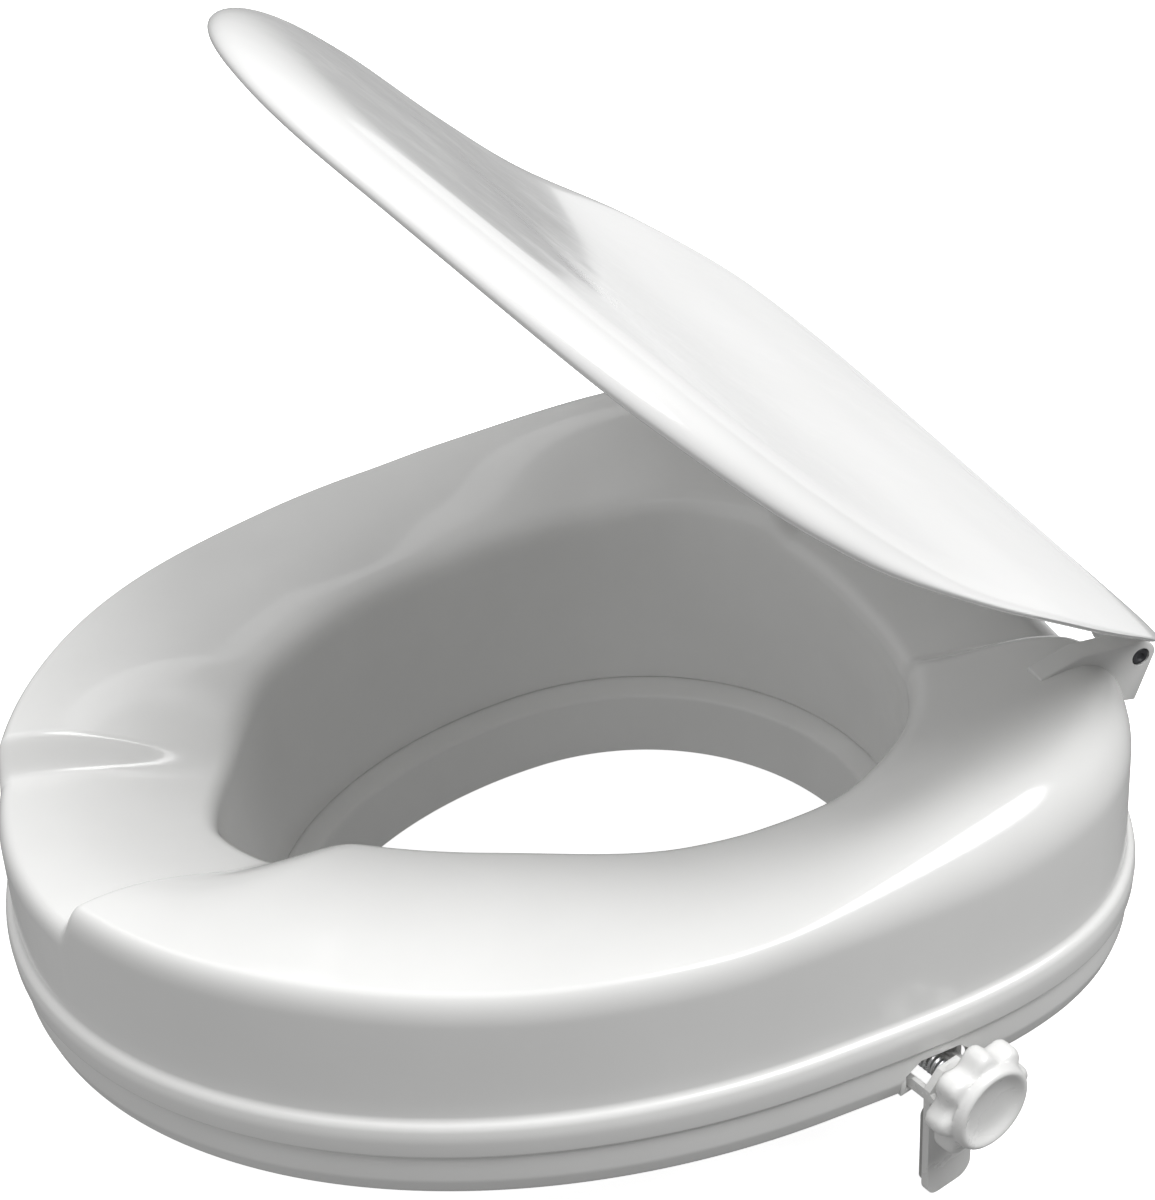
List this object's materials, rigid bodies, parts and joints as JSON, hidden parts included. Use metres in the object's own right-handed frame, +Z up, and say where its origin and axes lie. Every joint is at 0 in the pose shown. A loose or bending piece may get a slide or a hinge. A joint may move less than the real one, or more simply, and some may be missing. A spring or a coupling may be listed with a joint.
{
  "type": "raised toilet seat",
  "caption": "Raised toilet seat: moulded ring with front and rear dips, a spout through the middle, a hinged contoured lid and side screw clamps that grip the bowl.",
  "frame": {"origin": "Middle of the plane through the undersides of the rubber pads, which rests on the toilet bowl's rim, level with the seat's widest point.", "axes": "+Z up away from the bowl, -Y towards the front of the seat, +X towards the left hand of the person who sits on it."},
  "size_m": [0.4132, 0.4073, 0.3858],
  "materials": {
    "white_plastic": "polished moulded white, slightly warm",
    "clamp_plastic": "semi-gloss moulded white",
    "pin_plastic": "matte dark grey",
    "soft_rubber": "matte light grey",
    "zinc_steel": "bright zinc plate"
  },
  "bodies": {
    "seat": {"seat_shell": "white_plastic", "base_ring": "white_plastic", "bowl_spout": "white_plastic", "hinge_pin_left": "pin_plastic", "rim_pad_front_left": "soft_rubber", "rim_pad_mid_left": "soft_rubber", "rim_pad_rear_left": "soft_rubber", "base_screw_front_left": "zinc_steel", "base_screw_rear_left": "zinc_steel", "clamp_guide_left": "clamp_plastic", "guide_screw_front_left": "zinc_steel", "guide_screw_rear_left": "zinc_steel", "clamp_nut_left": "zinc_steel", "hinge_pin_right": "pin_plastic", "rim_pad_front_right": "soft_rubber", "rim_pad_mid_right": "soft_rubber", "rim_pad_rear_right": "soft_rubber", "base_screw_front_right": "zinc_steel", "base_screw_rear_right": "zinc_steel", "clamp_guide_right": "clamp_plastic", "guide_screw_front_right": "zinc_steel", "guide_screw_rear_right": "zinc_steel", "clamp_nut_right": "zinc_steel"},
    "lid_body": {"lid": "white_plastic", "lid_buffer_front_left": "soft_rubber", "lid_buffer_front_right": "soft_rubber", "lid_buffer_rear_left": "soft_rubber", "lid_buffer_rear_right": "soft_rubber"},
    "bracket_left": {"clamp_bracket_left": "clamp_plastic", "clamp_cushion_left": "soft_rubber"},
    "knob_left": {"clamp_knob_left": "clamp_plastic", "clamp_screw_left": "zinc_steel", "clamp_washer_left": "zinc_steel"},
    "bracket_right": {"clamp_bracket_right": "clamp_plastic", "clamp_cushion_right": "soft_rubber"},
    "knob_right": {"clamp_knob_right": "clamp_plastic", "clamp_screw_right": "zinc_steel", "clamp_washer_right": "zinc_steel"}
  },
  "joints": [
    {"name": "lid_hinge", "type": "hinge", "parent": "seat", "child": "lid_body", "pos_m": [0, 0.165, 0.095], "axis": [-1, 0, 0], "range_deg": [-42.6, 60]},
    {"name": "bracket_slide_left", "type": "slide", "parent": "seat", "child": "bracket_left", "axis": [0.9724, 0.2334, 0], "range_m": [-0.006, 0.012]},
    {"name": "knob_spin_left", "type": "hinge", "parent": "bracket_left", "child": "knob_left", "pos_m": [0.18961, 0.04552, 0.008], "axis": [0.9724, 0.2334, 0], "range_deg": [-545, 1090]},
    {"name": "bracket_slide_right", "type": "slide", "parent": "seat", "child": "bracket_right", "axis": [-0.9724, 0.2334, 0], "range_m": [-0.006, 0.012]},
    {"name": "knob_spin_right", "type": "hinge", "parent": "bracket_right", "child": "knob_right", "pos_m": [-0.18961, 0.04552, 0.008], "axis": [-0.9724, 0.2334, 0], "range_deg": [-545, 1090]}
  ],
  "couplings": [
    {"joint": "knob_spin_left", "follows": "bracket_slide_left", "rad_per_m": 1570.8},
    {"joint": "knob_spin_right", "follows": "bracket_slide_right", "rad_per_m": 1570.8}
  ]
}
